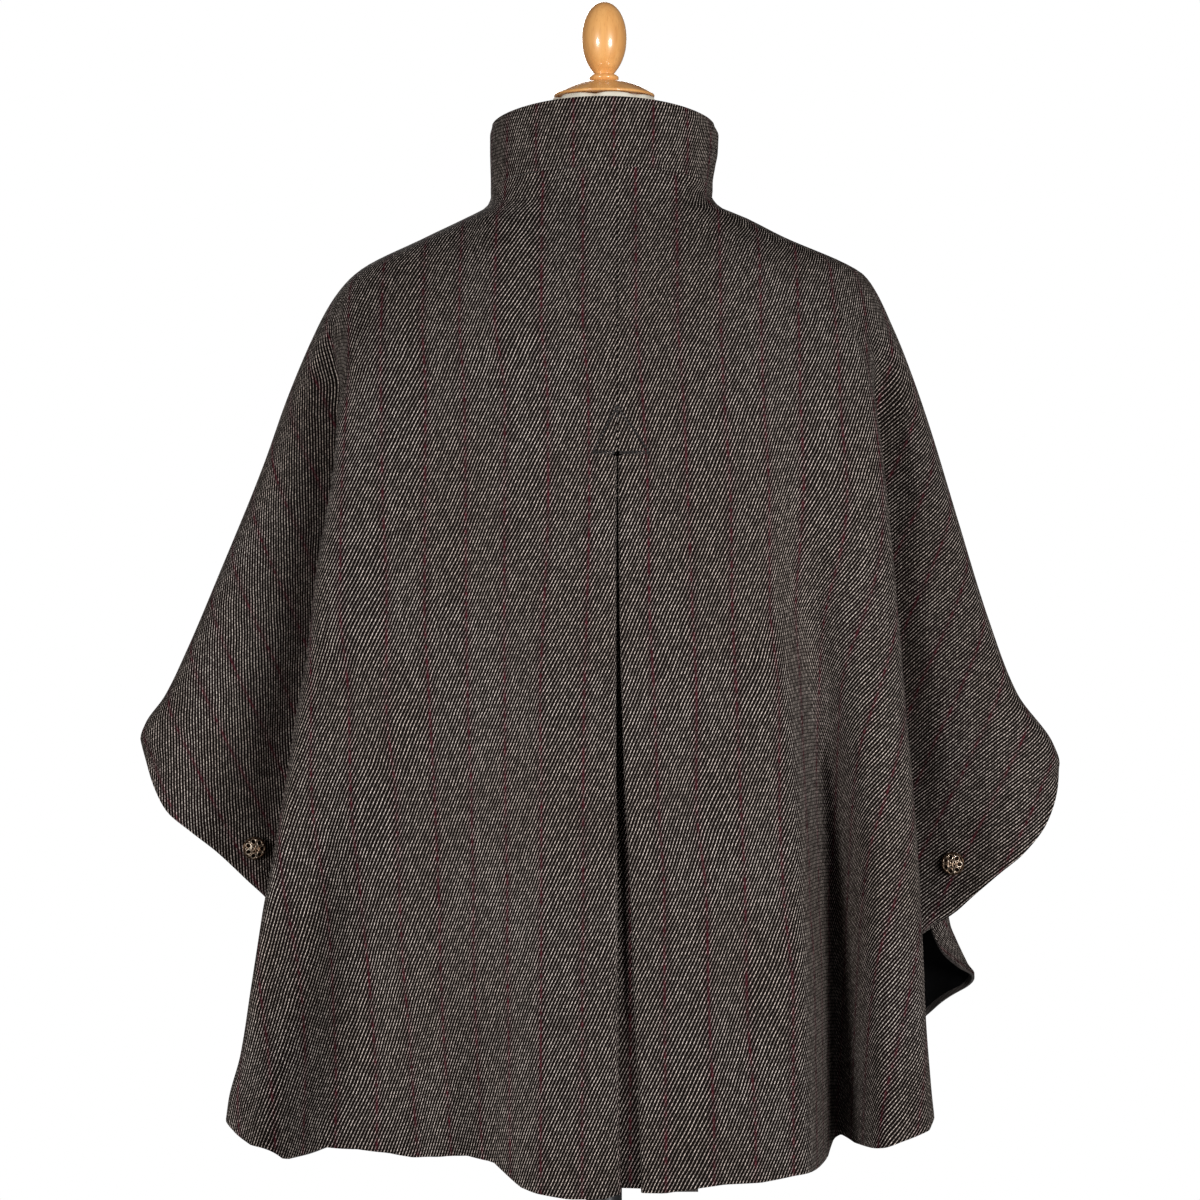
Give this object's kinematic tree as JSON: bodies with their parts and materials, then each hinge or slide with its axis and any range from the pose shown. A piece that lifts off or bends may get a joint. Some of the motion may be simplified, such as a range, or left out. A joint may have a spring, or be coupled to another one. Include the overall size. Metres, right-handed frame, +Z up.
{
  "type": "wool cape coat on a limbless dress form",
  "caption": "Hip-length wool cape coat with a stand collar, buttoned cape sleeves and a centre-back inverted pleat, on a limbless dress form with a wooden cap, pole and round base.",
  "frame": {"origin": "centre of the flat underside of the stand's round base, on the floor", "axes": "+Z up along the pole; the wearer's front faces -Y, the coat's back +Y, and the wearer's left is at +X"},
  "size_m": [0.7152, 0.3972, 1.5764],
  "materials": {
    "wool": "brown-black wool twill with grey flecks and thin red pinstripes",
    "lining": "smooth black lining with a faint sheen",
    "brass": "antiqued, domed, with pierced relief",
    "form_cloth": "cream cotton cover",
    "wood": "varnished, light brown",
    "steel": "satin black"
  },
  "bodies": {
    "root": {"back_left": "wool", "back_right": "wool", "pleat_underlay": "wool", "front_left": "wool", "front_right": "wool", "front_lining_right": "lining", "collar": "wool", "collar_button": "brass", "front_button_1": "brass", "front_button_2": "brass", "front_button_3": "brass", "front_button_4": "brass", "sleeve_button_left": "brass", "sleeve_button_right": "brass", "form_torso": "form_cloth", "form_neck_cap": "wood", "form_finial": "wood", "stand_pole": "steel", "stand_base": "steel"}
  },
  "joints": []
}
